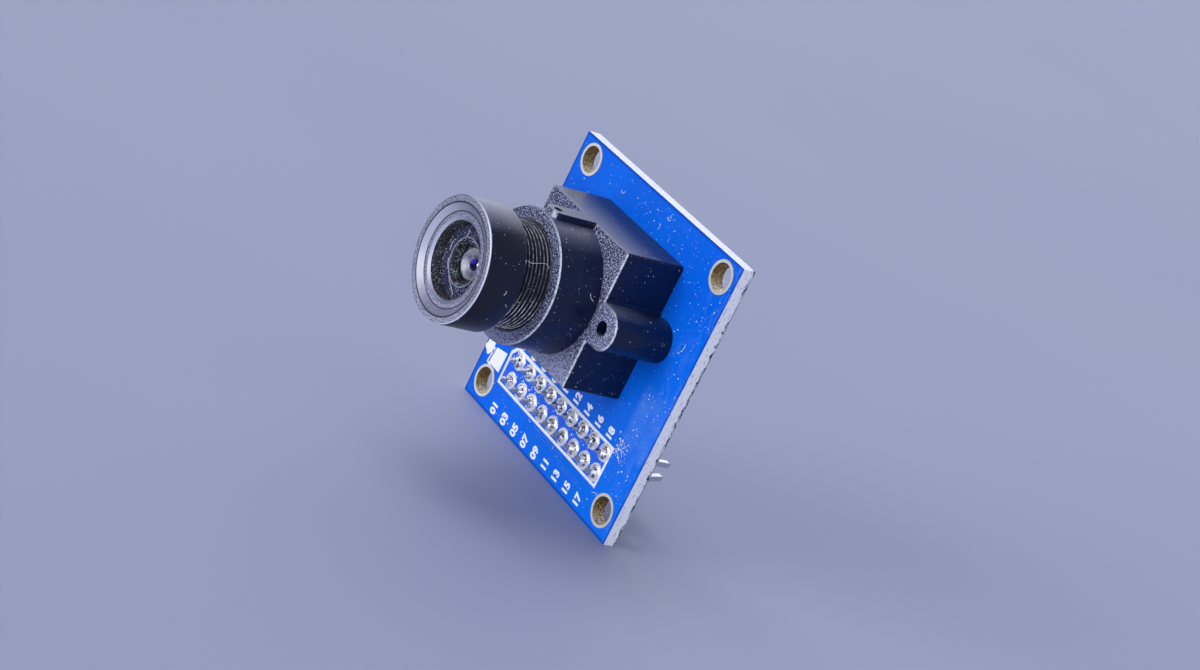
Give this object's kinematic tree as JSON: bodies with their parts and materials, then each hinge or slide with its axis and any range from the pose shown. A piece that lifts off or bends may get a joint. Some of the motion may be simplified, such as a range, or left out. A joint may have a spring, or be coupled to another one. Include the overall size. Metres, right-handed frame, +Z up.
{
  "type": "camera module",
  "caption": "Small circuit board with a moulded lens holder and a screw-in focusing lens on its front and a double row of header pins on its back.",
  "frame": {"origin": "middle of the four mounting holes, on the back face of the board", "axes": "+X across the board, +Z up the board with the header at the bottom, and the lens looks along -Y"},
  "size_m": [0.0342, 0.0324, 0.0349],
  "materials": {
    "solder_mask": "glossy blue solder mask over glass epoxy",
    "gold_plating": "thin gold plating",
    "header_plastic": "moulded black nylon",
    "tinned_pin": "bright tin plating",
    "solder": "bright tin solder",
    "holder_plastic": "moulded black plastic, fine grain",
    "screw_steel": "black oxide",
    "silicon": "polished die",
    "cover_glass": "clear",
    "lens_glass": "coated, violet reflection",
    "spacer_metal": "matte black anodised",
    "stop_film": "matte black film",
    "barrel_metal": "satin black anodised",
    "ring_metal": "satin black anodised, dusty",
    "baffle_metal": "rough black anodised",
    "filter_glass": "infrared cut coating",
    "moulded_epoxy": "matte moulding compound",
    "tinned_lead": "tin plated",
    "capacitor_ceramic": "fired ceramic with tinned ends",
    "resistor_ceramic": "glazed top with tinned ends"
  },
  "bodies": {
    "board": {"pcb": "solder_mask", "plated_holes": "gold_plating", "header_body": "header_plastic", "header_pin_1": "tinned_pin", "header_pin_2": "tinned_pin", "header_pin_3": "tinned_pin", "header_pin_4": "tinned_pin", "header_pin_5": "tinned_pin", "header_pin_6": "tinned_pin", "header_pin_7": "tinned_pin", "header_pin_8": "tinned_pin", "header_pin_9": "tinned_pin", "header_pin_10": "tinned_pin", "header_pin_11": "tinned_pin", "header_pin_12": "tinned_pin", "header_pin_13": "tinned_pin", "header_pin_14": "tinned_pin", "header_pin_15": "tinned_pin", "header_pin_16": "tinned_pin", "header_pin_17": "tinned_pin", "header_pin_18": "tinned_pin", "solder_joints": "solder", "lens_holder": "holder_plastic", "holder_screw_left": "screw_steel", "holder_screw_right": "screw_steel", "image_sensor": "silicon", "sensor_glass": "cover_glass", "sensor_balls": "solder", "regulator_1": "moulded_epoxy", "regulator_2": "moulded_epoxy", "regulator_1_leads": "tinned_lead", "regulator_2_leads": "tinned_lead", "capacitor_1": "capacitor_ceramic", "capacitor_2": "capacitor_ceramic", "capacitor_3": "capacitor_ceramic", "capacitor_4": "capacitor_ceramic", "capacitor_5": "capacitor_ceramic", "capacitor_6": "capacitor_ceramic", "capacitor_7": "capacitor_ceramic", "capacitor_8": "capacitor_ceramic", "resistor_1": "resistor_ceramic", "resistor_2": "resistor_ceramic", "resistor_3": "resistor_ceramic", "resistor_4": "resistor_ceramic"},
    "optics": {"front_element": "lens_glass", "front_spacer": "spacer_metal", "aperture_stop": "stop_film", "middle_element": "lens_glass", "rear_spacer": "spacer_metal", "rear_element": "lens_glass"},
    "lens": {"lens_barrel": "barrel_metal", "front_ring": "ring_metal", "front_baffle": "baffle_metal", "ir_filter": "filter_glass"}
  },
  "joints": [
    {"name": "focus_travel", "type": "slide", "parent": "board", "child": "optics", "axis": [0, -1, 0], "range_m": [-0.00387, 0.004]},
    {"name": "focus_turn", "type": "hinge", "parent": "optics", "child": "lens", "pos_m": [0, -0.0155, 0.00435], "axis": [0, -1, 0], "range_deg": [-2791, 2881]}
  ],
  "couplings": [
    {"joint": "focus_turn", "follows": "focus_travel", "rad_per_m": 12566}
  ]
}
